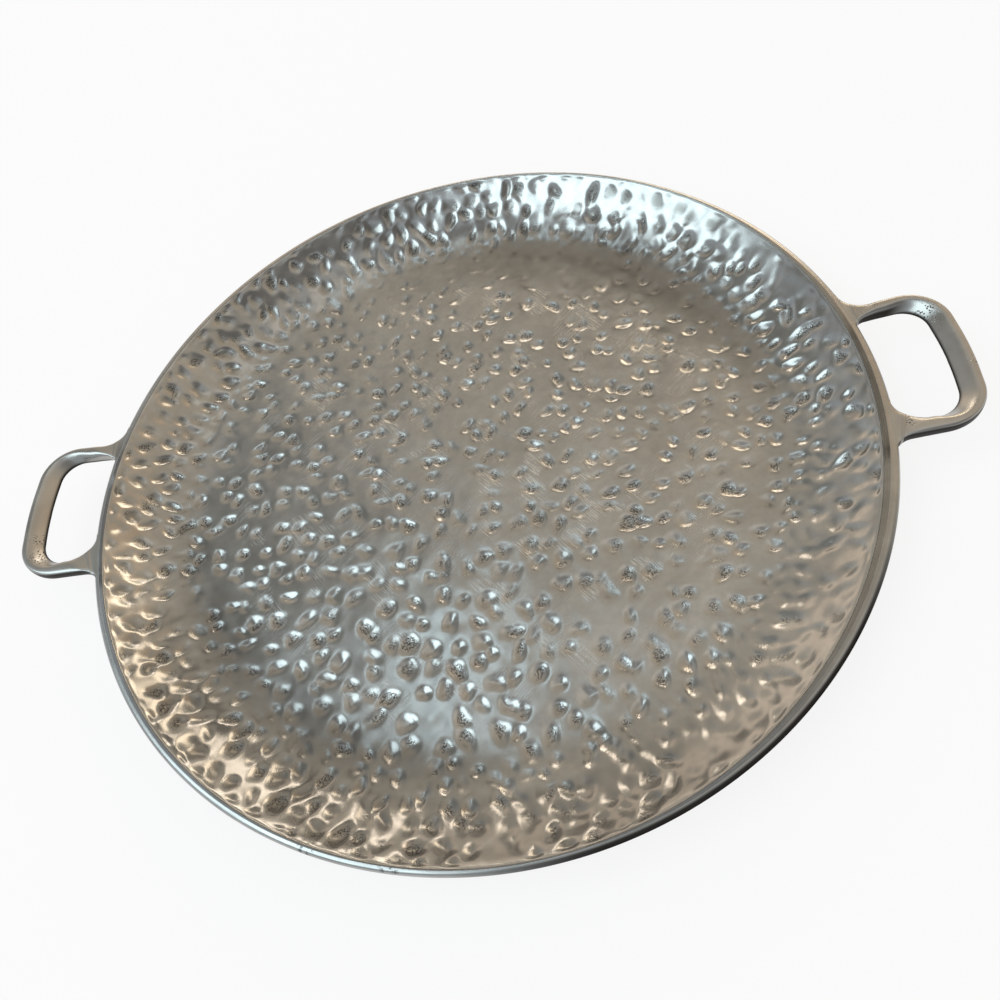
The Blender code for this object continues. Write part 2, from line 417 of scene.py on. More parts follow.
@dataclass(frozen=True)
class HammeredFinish:
    """Cast aluminium that was hammered, then rubbed down on its high places.

    A scale counts a pattern's features to a metre. A cut is where a pattern goes from nothing to
    full, and a zone does the same for the depth in a mark or the distance from the tray's axis.
    """

    land: Colour = (0.432, 0.425, 0.411)
    hollow: Colour = (0.41, 0.40, 0.385)
    dull: Colour = (0.30, 0.29, 0.27)
    pit_colour: Colour = (0.06, 0.055, 0.05)
    # The casting's dull grey underneath, and painted shade on the lower half of the rim's edge.
    skin_and_painted_shade: Colour = (0.24, 0.23, 0.215)
    # Painted shade: near black, on a stretch of the rim's outer edge at the near right.
    cast: Colour = (0.028, 0.024, 0.022)
    land_roughness: float = 0.21
    hollow_roughness: float = 0.25
    dull_roughness: float = 0.36
    band_roughness: float = 0.27
    skin_and_shade_roughness: float = 0.45
    edge_shade_roughness: float = 0.65
    stroke_roughness: float = 0.10
    # Painted shade: how much the toe layer darkens the metal.
    toe_shade: float = 0.38
    pit_cover: float = 0.8
    deep_zone: Limits = (0.15, 0.75)
    rough_zone: Limits = (0.1, 0.5)
    cloud_scale: float = 24.0
    cloud_range: Limits = (0.3, 0.72)
    cloud_tones: Limits = (0.90, 1.06)
    cloud_roughness: Limits = (-0.03, 0.04)
    mottle_scale: float = 170.0
    mottle_range: Limits = (0.25, 0.75)
    mottle_tones: Limits = (0.94, 1.05)
    grain_scale: float = 1700.0
    grain_depth: float = 0.13 * MM
    land_grain: float = 0.15
    grainy_scale: float = 75.0
    grainy_cut: Limits = (0.46, 0.55)
    middle_zone: Limits = (30 * MM, 90 * MM)
    middle_lead: float = 0.07
    fleck_scale: float = 1500.0
    fleck_cut: Limits = (0.48, 0.56)
    fleck_zone: Limits = (0.2, 0.5)
    pit_scale: float = 480.0
    pit_cut: Limits = (0.30, 0.50)
    pit_depth: float = 0.12 * MM
    patch_scales: Pair = (48.0, 41.0)
    patch_cuts: tuple[Limits, Limits] = ((0.54, 0.64), (0.45, 0.37))
    stroke_angles: Pair = (-52 * DEG, 42 * DEG)
    stroke_lengths: Pair = (14 * MM, 12 * MM)
    stroke_width: float = 0.32 * MM
    stroke_cut: Limits = (0.55, 0.64)
    stroke_depth: float = 0.025 * MM
    stroke_end: Limits = (120 * MM, 150 * MM)
    hollow_strokes: float = 0.25
    brush_scales: tuple[float, float, float] = (2400.0, 9.0, 1500.0)
    brush_roughness: Limits = (-0.04, 0.05)
    brush_depth: float = 0.004 * MM

    def graininess(self, graph: ShaderGraph, place: Socket, radius: Socket) -> Socket:
        """Say where the marks are grainy: in patches, and more often near the tray's middle.

        Args:
            graph: The finish's nodes.
            place: The position.
            radius: Distance from the tray's axis.

        Returns:
            1 where the marks are grainy, 0 where they are smooth.
        """
        lead = graph.ramp(radius, *self.middle_zone, self.middle_lead, 0.0)
        patches = graph.noise(place, self.grainy_scale, detail=1.0)
        return graph.ramp(graph.total(patches, lead), *self.grainy_cut)

    def specks(self, graph: ShaderGraph, place: Socket, dent: Socket, grainy: Socket) -> Socket:
        """Give the black specks: flecks in the grainy marks, and pits at the casting's flaws.

        Args:
            graph: The finish's nodes.
            place: The position.
            dent: How deep a point lies in a mark.
            grainy: Where the marks are grainy.

        Returns:
            1 on a speck, 0 elsewhere.
        """
        flecks = graph.ramp(graph.noise(place, self.fleck_scale, detail=1.0), *self.fleck_cut)
        inside = graph.product(flecks, grainy, graph.ramp(dent, *self.fleck_zone))
        pits = graph.specks(place, self.pit_scale, *self.pit_cut)
        return graph.maths("MAXIMUM", inside, graph.product(pits, graph.painted("pitted")))

    def rubbing(self, graph: ShaderGraph, place: Socket, dent: Socket, radius: Socket) -> Socket:
        """Give the rubbing strokes: two directions, each in its own patches of the floor's lands.

        Args:
            graph: The finish's nodes.
            place: The position.
            dent: How deep a point lies in a mark, where the strokes are fainter.
            radius: Distance from the tray's axis, past which the strokes end.

        Returns:
            1 on a stroke, 0 elsewhere.
        """
        patches = (graph.noise(place, self.patch_scales[0], detail=2.0),
                   graph.noise(place, self.patch_scales[1], detail=1.0))
        rubbed: list[Socket] = []
        for angle, length, patch, cut in zip(
                self.stroke_angles, self.stroke_lengths, patches, self.patch_cuts):
            lines = graph.strokes(place, angle, self.stroke_width, length)
            rubbed.append(graph.product(graph.ramp(lines, *self.stroke_cut), graph.ramp(patch, *cut)))
        return graph.product(graph.maths("MAXIMUM", *rubbed),
                             graph.ramp(dent, *self.rough_zone, 1.0, self.hollow_strokes),
                             graph.ramp(radius, *self.stroke_end, 1.0, 0.0))

    def brushing(self, graph: ShaderGraph, axes: bpy.types.Node, radius: Socket) -> Socket:
        """Give the brush lines round the rim: noise that is fine across them and slow along them.

        Args:
            graph: The finish's nodes.
            axes: The node that splits the position into X, Y and Z.
            radius: Distance from the tray's axis.

        Returns:
            The lines, about 0.5.
        """
        across, along, upright = self.brush_scales
        bearing = graph.maths("ARCTAN2", axes.outputs["Y"], axes.outputs["X"])
        around = graph.add("ShaderNodeCombineXYZ", {
            "X": graph.product(radius, across), "Y": graph.product(bearing, along),
            "Z": graph.product(axes.outputs["Z"], upright)})
        return graph.noise(around, 1.0, detail=2.0)

    def material(self) -> bpy.types.Material:
        """Build the finish.

        The mesh stores how deep each point lies in a hammer mark, how dull it is, how much
        painted shade it gets, and where the smooth rim is. Marks are darker, rougher and grainy, with
        black specks; the lands between them carry patches of crossed rubbing strokes; the rim
        has brush lines that run round it. The casting's dull grey is left underneath, with painted
        shade on the lower half of the rim's edge, and a near-black painted shade, matt and without
        gloss, on a stretch of the rim's outer edge at the near right.

        Returns:
            The material.
        """
        material, graph = new_material("hammered_aluminium_finish")
        place = graph.place()
        axes = graph.add("ShaderNodeSeparateXYZ", {"Vector": place}, "X").node
        plan = graph.add("ShaderNodeCombineXYZ", {"X": axes.outputs["X"], "Y": axes.outputs["Y"]})
        radius = graph.add("ShaderNodeVectorMath", {0: plan}, "Value", operation="LENGTH")
        dent, band, dull = (graph.painted(name) for name in ("dent", "band", "dull"))
        # The last of these layers is a near-black painted shade on the rim's outer edge.
        toe, under, painted_edge_shade = (graph.painted(name) for name in ("toe", "under", "painted_edge_shade"))
        cloud = graph.noise(place, self.cloud_scale, detail=4.0, roughness=0.6)
        mottle = graph.noise(place, self.mottle_scale, detail=3.0, roughness=0.6)
        grain = graph.noise(place, self.grain_scale, detail=2.0, roughness=0.6)
        deep = graph.ramp(dent, *self.deep_zone)
        grainy = self.graininess(graph, place, radius)
        specks = self.specks(graph, place, dent, grainy)
        strokes = self.rubbing(graph, place, dent, radius)
        brush = self.brushing(graph, axes, radius)

        worked = graph.tint(deep, (*self.land, 1.0), (*self.hollow, 1.0))
        # Painted shade: the toe layer darkens the toe, the far toe and the near wall.
        shade = graph.product(
            graph.ramp(cloud, *self.cloud_range, *self.cloud_tones),
            graph.ramp(mottle, *self.mottle_range, *self.mottle_tones),
            graph.ramp(toe, 0.0, 1.0, 1.0, 1.0 - self.toe_shade))
        inside = graph.shaded(graph.tint(dull, worked, (*self.dull, 1.0)), shade)
        # The under layer: the casting's dull grey underneath, and painted shade on the lower half of the
        # rim's edge.
        clean = graph.tint(under, inside, (*self.skin_and_painted_shade, 1.0))
        # Painted shade: near black, matt and without gloss, on a stretch of the rim's outer edge.
        edged = graph.tint(painted_edge_shade, clean, (*self.cast, 1.0))
        colour = graph.tint(graph.product(specks, self.pit_cover), edged, (*self.pit_colour, 1.0))

        rubbed = graph.blend(deep, self.land_roughness, self.hollow_roughness)
        lands = graph.total(
            graph.blend(dull, rubbed, self.dull_roughness),
            graph.ramp(cloud, *NOISE_RANGE, *self.cloud_roughness),
            graph.product(strokes, self.stroke_roughness))
        brushed = (self.band_roughness + change for change in self.brush_roughness)
        smooth = graph.blend(band, lands, graph.ramp(brush, *NOISE_RANGE, *brushed))
        skinned = graph.blend(under, smooth, self.skin_and_shade_roughness)
        roughness = graph.blend(painted_edge_shade, skinned, self.edge_shade_roughness)

        coarse = graph.product(grainy, graph.ramp(dent, *self.rough_zone))
        height = graph.total(
            graph.product(grain, graph.blend(coarse, self.land_grain, 1.0), graph.rest(band),
                          self.grain_depth),
            graph.product(specks, -self.pit_depth),
            graph.product(strokes, -self.stroke_depth),
            graph.product(brush, band, self.brush_depth))
        graph.bare_metal(colour, roughness, height, graph.rest(painted_edge_shade))
        return material


@dataclass(frozen=True)
class SatinFinish:
    """Cast aluminium filed and rubbed to a satin, with small casting pits left in places."""

    name: str = "satin_aluminium_finish"
    metal: Colour = (0.43, 0.415, 0.395)
    pit_colour: Colour = (0.05, 0.045, 0.04)
    roughness: float = 0.29
    pit_cover: float = 0.85
    pit_roughness: float = 0.2
    pit_depth: float = 0.15 * MM
    ripple: float = 0.012 * MM
    swell: float = 0.072 * MM
    cloud_scale: float = 45.0
    cloud_tones: Limits = (0.93, 1.05)
    cloud_roughness: Limits = (-0.04, 0.05)
    grain_scale: float = 900.0
    pit_scale: float = 800.0
    pit_cut: Limits = (0.18, 0.40)
    # Painted shade, near black, where the mesh's under layer marks it.
    skin_and_painted_shade: Colour = (0.036, 0.033, 0.03)
    skin_and_shade_roughness: float = 0.45

    def material(self) -> bpy.types.Material:
        """Build the finish.

        A soft mottle moves the tone and roughness, and a fine grain keeps the highlights from
        being glassy. Black pits gather where the mesh marks a flaw, and a near-black painted shade
        covers the sides and underneath, where the mesh marks that.

        Returns:
            The material.
        """
        material, graph = new_material(self.name)
        place, under = graph.place(), graph.painted("under")
        cloud = graph.noise(place, self.cloud_scale, detail=3.0, roughness=0.55)
        grain = graph.noise(place, self.grain_scale, detail=2.0, roughness=0.6)
        pits = graph.product(graph.specks(place, self.pit_scale, *self.pit_cut),
                             graph.painted("pitted"))
        tone = graph.shaded((*self.metal, 1.0), graph.ramp(cloud, *NOISE_RANGE, *self.cloud_tones))
        # Painted shade: near black where the under layer is set.
        rubbed = graph.tint(under, tone, (*self.skin_and_painted_shade, 1.0))
        colour = graph.tint(graph.product(pits, self.pit_cover), rubbed, (*self.pit_colour, 1.0))
        roughness = graph.total(graph.ramp(cloud, *NOISE_RANGE, *self.cloud_roughness),
                                graph.blend(under, self.roughness, self.skin_and_shade_roughness),
                                graph.product(pits, self.pit_roughness))
        height = graph.total(graph.product(cloud, self.swell), graph.product(grain, self.ripple),
                             graph.product(pits, -self.pit_depth))
        graph.bare_metal(colour, roughness, height)
        return material


@dataclass(frozen=True)
class Waves:
    """Slow swells left in beaten sheet, as a sum of plane waves in seeded directions."""

    count: int
    length: Limits
    height: float
    seed: int

    def swell(self, u: Array, v: Array) -> Array:
        """Add up sin(k . p + phase) over all waves, scaled so that the sum has the given height.

        Args:
            u: Positions along the first axis.
            v: Positions along the second axis.

        Returns:
            The height at each position.
        """
        length, angle, phase = np.random.default_rng(self.seed).random((3, self.count))
        number = math.tau / spread(length, self.length)
        along = np.multiply.outer(u, np.cos(angle * math.tau) * number)
        across = np.multiply.outer(v, np.sin(angle * math.tau) * number)
        ripples = np.sin(along + across + phase * math.tau)
        return ripples.sum(axis=-1) * self.height / math.sqrt(self.count / 2)


@dataclass(frozen=True)
class HammerMarks:
    """Blows of a round-faced hammer, about one to each cell of a loose honeycomb.

    Each blow is an ellipse whose long axis lies within half the scatter of the heading. It
    wanders from the middle of its cell by a share of the pitch, and some cells are spared.
    """

    pitch: float
    radius: Limits
    depth: Limits
    stretch: Limits
    wander: float
    spared: float
    lip: float
    bowl: float
    seed: int
    heading: float
    scatter: float
    round_count: int = 0
    lip_ring: float = 1.15
    lip_width: float = 0.25

    def strike(self, u: Array, v: Array) -> tuple[Array, Array]:
        """Work out how the blows shape a flat sheet.

        Each point looks at the blows of the nine cells around it. A blow sinks the sheet by its
        depth times (1 - q)^bowl, where q is the squared distance from its middle in units of its
        own elliptical radius, and raises a low ring just outside. The deepest blow counts where
        two meet, and the rings add up. Where round_count is set, the rows run round the tray
        and close after that many cells.

        Args:
            u: Positions along the rows of blows.
            v: Positions across the rows.

        Returns:
            The height of each point, and how deep it lies in a mark, from 0 to 1.
        """
        half = int(np.ceil(max(np.abs(u).max(), np.abs(v).max()) / self.pitch)) + 3
        draw = np.random.default_rng(self.seed).random((7, 2 * half, 2 * half))
        row = np.floor(v / self.pitch).astype(int)
        sunk, raised = np.zeros_like(u), np.zeros_like(u)
        for down in (-1, 0, 1):
            line = row + down
            shift = 0.5 * self.pitch * (line % 2)
            first = np.floor((u - shift) / self.pitch).astype(int)
            for along in (-1, 0, 1):
                cell = first + along
                drawn = cell % self.round_count if self.round_count else cell + half
                aim_u, aim_v, width, turn, length, force, luck = draw[:, line + half, drawn]
                middle_u = cell + 0.5 + self.wander * (2.0 * aim_u - 1.0)
                middle_v = line + 0.5 + self.wander * (2.0 * aim_v - 1.0)
                east = u - shift - middle_u * self.pitch
                north = v - middle_v * self.pitch
                size = spread(width, self.radius)
                angle = self.heading + (turn - 0.5) * self.scatter
                longer = np.sqrt(spread(length ** 2, self.stretch))
                ahead = (east * np.cos(angle) + north * np.sin(angle)) / (size * longer)
                aside = (north * np.cos(angle) - east * np.sin(angle)) / size * longer
                q = ahead ** 2 + aside ** 2
                depth = spread(force, self.depth) * (luck > self.spared)
                sunk = np.maximum(sunk, depth * np.clip(1.0 - q, 0.0, 1.0) ** self.bowl)
                ring = np.exp(-((np.sqrt(q) - self.lip_ring) / self.lip_width) ** 2)
                raised += self.lip * depth * ring
        return raised - sunk, sunk / self.depth[1]


@dataclass(frozen=True)
class Stretch:
    """A soft stretch of the way round the tray or up its section, by its middle and half width."""

    middle: float
    half: float
    power: int = 2

    def share(self, at: Array) -> Array:
        """Fall from 1 at the middle by exp(-d^power), with d in half widths."""
        return np.exp(-((at - self.middle) / self.half) ** self.power)


@dataclass(frozen=True)
class WearAndShade:
    """Where rubbing calmed the hammer marks, and where the metal is dull or carries painted shade.

    A point goes by its walk, the way along the section from the tray's middle, and its bearing.
    """

    far_walk: Stretch = Stretch(147 * MM, 18 * MM)
    far_round: Stretch = Stretch(72 * DEG, 38 * DEG)
    far_calm: float = 0.92
    far_shade: float = 0.7
    lip_zone: Limits = (17 * MM, 9 * MM)
    lip_round: Stretch = Stretch(36 * DEG, 28 * DEG, 4)
    lip_calm: float = 0.75
    wall_round: Stretch = Stretch(-42 * DEG, 33 * DEG, 4)
    wall_calm: float = 0.5
    toe_walk: Stretch = Stretch(157 * MM, 17 * MM)
    toe_bearing: float = 48 * DEG
    near_zone: Limits = (163 * MM, 176 * MM)
    near_bearing: float = -108 * DEG
    near_turn: Limits = (0.45, 0.8)
    near_shade: float = 0.62
    dull_depth: Limits = (0.1, 0.8)
    dull_least: float = 0.2
    far_turn: Limits = (0.0, 0.6)
    left_bearing: float = 195 * DEG
    left_turn: Limits = (0.3, 0.8)
    left_dull: float = 0.8

    def far_toe(self, walk: Array, bearing: Array) -> Array:
        """Say how near a point lies to the middle of the far toe, where few marks show."""
        return self.far_walk.share(walk) * self.far_round.share(bearing)

    def calm(self, walk: Array, bearing: Array, steep: Array, length: float) -> Array:
        """Say how much of the marks' depth is left.

        It is less along the far toe, in a strip below the far right lip and on the near right
        wall.

        Args:
            walk: The way along the section.
            bearing: Angle about the tray's axis.
            steep: 0 on the floor, 1 on the wall.
            length: The section's whole length.

        Returns:
            The share that is left, up to 1.
        """
        below_lip = ease(walk, *(length - inset for inset in self.lip_zone))
        return ((1.0 - self.far_calm * self.far_toe(walk, bearing))
                * (1.0 - self.lip_calm * below_lip * self.lip_round.share(bearing))
                * (1.0 - self.wall_calm * steep * self.wall_round.share(bearing)))

    def dullness(self, dent: Array, bearing: Array) -> Array:
        """Say how dull the wall's marks are: the deeper the duller, most at the far and left sides.

        Args:
            dent: How deep a point lies in a mark.
            bearing: Angle about the tray's axis.

        Returns:
            The dullness, up to 1.
        """
        far = ease(np.sin(bearing), *self.far_turn)
        left = ease(np.cos(bearing - self.left_bearing), *self.left_turn)
        sides = np.maximum(far, self.dull_least + self.left_dull * left)
        return ease(dent, *self.dull_depth) * sides

    def painted_shade(self, walk: Array, bearing: Array, fade: Array) -> Array:
        """Say how much shade is painted on: at the toe on two sides, at the far toe and on the near
        wall.

        Args:
            walk: The way along the section.
            bearing: Angle about the tray's axis.
            fade: 1 in the well, 0 at the lip.

        Returns:
            The darkest of the three, up to 1.
        """
        toe = self.toe_walk.share(walk) * np.cos(bearing - self.toe_bearing) ** 2
        turned = ease(np.cos(bearing - self.near_bearing), *self.near_turn)
        near = turned * ease(walk, *self.near_zone) * fade
        far = self.far_toe(walk, bearing)
        return np.maximum(np.maximum(toe, self.far_shade * far), self.near_shade * near)


@dataclass
class HammeredDish:
    """The tray's body: a flat floor, a sloping wall and a flat rim, hammered inside.

    The upper corner of the CAD node's box, high, sets the rim's radius and height. Zones are
    given by the walk along the section, or by the distance from its end at the lip.
    """

    high: Vector
    band_width: float = 3.8 * MM
    band_oval: float = 1.6 * MM
    band_drift: float = 0.8 * MM
    band_ripple: float = 0.7 * MM
    band_phases: tuple[float, float, float] = (20 * DEG, 40 * DEG, 45 * DEG)
    band_zone: Limits = (2.2 * MM, 0.6 * MM)
    least_band: float = 0.3 * MM
    rim_thickness: float = 4.5 * MM
    edge_reach: float = 2.2 * MM
    least_edge: float = 1.0 * MM
    edge_rings: int = 10
    edge_powers: Pair = (0.8, 0.9)
    metal_thickness: float = 3.5 * MM
    wall_slope: float = 42 * DEG
    low_slope: float = 38 * DEG
    wide_toe: float = 80.0 * MM
    tight_toe: float = 50.0 * MM
    wide_bearing: float = -95 * DEG
    lip_fillet: float = 2.2 * MM
    lip_rows: int = 6
    lip_zone: float = 4.0 * MM
    under_lip_fillet: float = 4.0 * MM
    under_depth: float = 8.0 * MM
    base_fillet: float = 33.5 * MM
    base_rings: int = 5
    base_margin: float = 4.0 * MM
    cells: int = 280
    probe: float = 0.3 * MM
    toe_points: int = 60
    lip_points: int = 40
    section_points: int = 1200
    wall_zone: Limits = (160 * MM, 170 * MM)
    wall_radius: float = 185 * MM
    wall_count: int = 110
    calm_zone: Limits = (0.5 * MM, 4.0 * MM)
    slip_zone: Limits = (120 * MM, 195 * MM)
    flute_height: float = 0.12 * MM
    flute_waves: tuple[int, int, int] = (83, 7, 13)
    flute_wobble: float = 4.0
    skin_and_shade_rings: Limits = (3.5, 7.2)
    # Where shade is painted near black on the rim's outer edge, by ring and bearing.
    edge_shade_rings: Limits = (-0.4, 1.2)
    edge_shade_end: Limits = (11.0, 9.0)
    edge_shade_bearing: float = -58 * DEG
    edge_shade_turn: Limits = (0.75, 0.95)
    pits: tuple[Pit, ...] = (
        Pit(-76.1 * MM, -186.6 * MM, 3.6 * MM), Pit(-40.5 * MM, -197.4 * MM, 3.6 * MM),
        Pit(6.2 * MM, -56.6 * MM, 0.8 * MM))
    floor_marks: HammerMarks = HammerMarks(
        pitch=11.6 * MM, radius=(4.3 * MM, 6.4 * MM), depth=(0.70 * MM, 1.55 * MM),
        stretch=(1.0, 1.9), wander=0.34, spared=0.06, lip=0.0, bowl=2.7, seed=41,
        heading=0.0, scatter=150 * DEG)
    wall_marks: HammerMarks = HammerMarks(
        pitch=math.tau * wall_radius / wall_count, radius=(4.4 * MM, 7.0 * MM),
        depth=(0.7 * MM, 1.9 * MM), stretch=(1.1, 2.4), wander=0.28, spared=0.05, lip=0.03,
        bowl=2.4, seed=23, heading=90 * DEG, scatter=100 * DEG, round_count=wall_count)
    ragged: Waves = Waves(count=16, length=(7 * MM, 16 * MM), height=0.5 * MM, seed=12)
    land_waves: Waves = Waves(count=14, length=(22 * MM, 60 * MM), height=0.10 * MM, seed=5)
    facets: Waves = Waves(count=22, length=(7 * MM, 15 * MM), height=0.03 * MM, seed=8)
    wear_and_shade: WearAndShade = WearAndShade()

    @property
    def radius(self) -> float:
        """Outer radius of the rim."""
        return self.high.x

    @property
    def top(self) -> float:
        """Height of the rim's flat top."""
        return self.high.z

    @property
    def lip_radius(self) -> float:
        """Radius of the corner between the wall and the rim band, before it is rounded."""
        return self.radius - self.band_width - self.lip_fillet * math.tan(self.wall_slope / 2)

    def band_shift(self, bearing: Array) -> Array:
        """Say how far the well's edge lies outside its mean circle: three slow waves of the bearing.

        Args:
            bearing: Angle about the tray's axis.

        Returns:
            The distance at each bearing.
        """
        oval, drift, ripple = self.band_phases
        return (-self.band_oval * np.cos(2.0 * bearing + oval)
                - self.band_drift * np.cos(bearing + drift)
                - self.band_ripple * np.cos(3.0 * bearing + ripple))

    def inside_section(self, slope: float, toe_fillet: float) -> Array:
        """Lay out the half section of the inside, from the centre to the rim band's inner edge.

        Args:
            slope: The wall's angle from level.
            toe_fillet: The radius of the rounding between the floor and the wall.

        Returns:
            Points of (radius, height), evenly spaced along the section.
        """
        lip = self.lip_radius
        depth = self.top - self.metal_thickness
        toe = lip - depth / math.tan(slope)
        centre, foot, edge, band = np.array([
            [0.0, self.metal_thickness], [toe, self.metal_thickness], [lip, self.top],
            [self.radius, self.top]])
        corners = np.concatenate([
            centre[None], fillet(centre, foot, edge, toe_fillet, self.toe_points),
            fillet(foot, edge, band, self.lip_fillet, self.lip_points)])
        steps = np.linalg.norm(np.diff(corners, axis=0), axis=1)
        reach = np.concatenate([[0.0], np.cumsum(steps)])
        even = np.linspace(0.0, reach[-1], self.section_points)
        return np.stack([np.interp(even, reach, corners[:, k]) for k in (0, 1)], axis=1)

    def outside_section(self) -> Array:
        """Lay out the half section that goes on over the rim and back along the underside.

        The rim's edge is half a superellipse, as wide as edge_reach and as tall as the rim. The
        last ring lies on the level base, so that the base's rounding doesn't shade into it.

        Returns:
            Points of (radius, height), one for each ring of the mesh.
        """
        middle = self.top - self.rim_thickness / 2
        angle = np.linspace(math.pi / 2, -math.pi / 2, self.edge_rings)
        bulge = np.abs(np.cos(angle)) ** self.edge_powers[0]
        rise = np.sign(np.sin(angle)) * np.abs(np.sin(angle)) ** self.edge_powers[1]
        edge = np.stack([self.radius - self.edge_reach * (1.0 - bulge),
                         middle + rise * self.rim_thickness / 2], axis=1)
        bottom = self.top - self.rim_thickness
        wall = self.lip_radius + self.metal_thickness / math.sin(self.wall_slope)

        def under(height: float) -> list[float]:
            """Give the point of the wall's sloping underside at a height."""
            return [wall - (self.top - height) / math.tan(self.wall_slope), height]

        corner, foot = np.array(under(bottom)), np.array(under(0.0))
        below = fillet(edge[-1], corner, foot, self.under_lip_fillet, 2)
        base = fillet(corner, foot, np.zeros(2), self.base_fillet, self.base_rings)
        level = base[-1:] - np.array([[self.base_margin, 0.0]])
        return np.concatenate([edge, below, base, level])

    def hammer(self, walk: Array, bearing: Array, length: float) -> tuple[Array, dict[str, Array]]:
        """Work out the relief of the hammered inside.

        The blows fall in loose rows across the floor, and in rounds up the wall; slow waves make
        both ragged. Swells, and shallow upright flutes on the wall, lie between the marks, and
        everything fades out at the lip.

        Args:
            walk: The way along the section.
            bearing: Angle about the tray's axis.
            length: The section's whole length.

        Returns:
            The relief, and what the finish reads at each point: how deep it lies in a hammer
            mark, how dull the mark is, how much painted shade it gets, and where the rim band is.
        """
        u, v = walk * np.cos(bearing), walk * np.sin(bearing)
        nudge, shove = self.ragged.swell(u, v), self.ragged.swell(v, -u)
        floor, floor_dent = self.floor_marks.strike(u + nudge, v + shove)
        wall, wall_dent = self.wall_marks.strike(bearing * self.wall_radius + nudge, walk + shove)
        steep = ease(walk, *self.wall_zone)
        fade = ease(walk, *(length - inset for inset in self.calm_zone))
        calm = self.wear_and_shade.calm(walk, bearing, steep, length)
        fine, wobble, slow = (bearing * count for count in self.flute_waves)
        flutes = np.sin(fine + self.flute_wobble * np.sin(wobble)) * np.cos(slow)
        relief = (calm * (floor * (1.0 - steep) + wall * steep) + steep * self.flute_height * flutes
                  + self.land_waves.swell(u, v) + self.facets.swell(u, v))
        return relief * fade, {
            "dent": calm * (floor_dent * (1.0 - steep) + wall_dent * steep) * fade,
            "dull": self.wear_and_shade.dullness(wall_dent, bearing) * steep * fade,
            # Painted shade on the toe, the far toe and the near wall.
            "toe": self.wear_and_shade.painted_shade(walk, bearing, fade),
            "band": ease(walk, *(length - inset for inset in self.band_zone)),
        }

    def shape(self, row: Array, bearing: Array) -> tuple[Array, dict[str, Array]]:
        """Carry the hammered inside to points given by a row of the grid and a bearing.

        The section is a mix of one with a wide toe and a low slope, for the near side, and one
        with a tight toe, by the cosine of the bearing. The rows lie closer together at the lip.
        A point is pushed along the section's normal by the relief; then the wall is shifted
        outwards or inwards, as the rim band isn't equally wide all round.

        Args:
            row: The grid's rings, from 0 at the centre to 1 at the rim band.
            bearing: Angle about the tray's axis.

        Returns:
            The points, and what the finish reads at each.
        """
        wide = self.inside_section(self.low_slope, self.wide_toe)
        tight = self.inside_section(self.wall_slope, self.tight_toe)
        length = np.linalg.norm(np.diff(tight, axis=0), axis=1).sum()
        share = np.interp(row, [0.0, 1.0 - 2.0 * self.lip_rows / self.cells, 1.0],
                          [0.0, 1.0 - self.lip_zone / length, 1.0])
        even = np.linspace(0.0, 1.0, len(wide))
        mix = 0.5 + 0.5 * np.cos(bearing - self.wide_bearing)

        def along(part: Array, axis: int) -> Array:
            """Read the mixed section's radius (axis 0) or height (axis 1) at a share of its length."""
            return (np.interp(part, even, tight[:, axis]) * (1.0 - mix)
                    + np.interp(part, even, wide[:, axis]) * mix)

        probe = self.probe / length
        ahead, behind = np.minimum(share + probe, 1.0), np.maximum(share - probe, 0.0)
        run, rise = (along(ahead, axis) - along(behind, axis) for axis in (0, 1))
        slope = np.hypot(run, rise)
        walk = share * length
        relief, layers = self.hammer(walk, bearing, length)
        slip = ease(walk, *self.slip_zone) * self.band_shift(bearing)
        radius = along(share, 0) - relief * rise / slope + slip
        height = along(share, 1) + relief * run / slope
        points = np.stack([radius * np.cos(bearing), radius * np.sin(bearing), height], axis=1)
        return points, layers

    def build(self) -> bpy.types.Object:
        """Make the dish as one closed shell.

        The inside is a square grid bent onto a disc: rings of the square become circles, and
        the four sides of a ring each span a quarter turn. Its border is a full turn of evenly
        spaced points, and the rings of the rim and the underside go on from there to a pole.

        Returns:
            The dish.
        """
        side = np.linspace(-1.0, 1.0, self.cells + 1)
        a, b = (axis.ravel() for axis in np.meshgrid(side, side, indexing="ij"))
        across = np.abs(a) > np.abs(b)
        major = np.where(across, a, b)
        minor = np.where(across, b, a)
        ratio = np.divide(minor, major, out=np.zeros_like(minor), where=major != 0.0)
        turn = np.where(across, ratio * math.pi / 4, math.pi / 2 - ratio * math.pi / 4)
        bearing = np.arctan2(major * np.sin(turn), major * np.cos(turn))
        inside, layers = self.shape(np.abs(major), bearing)

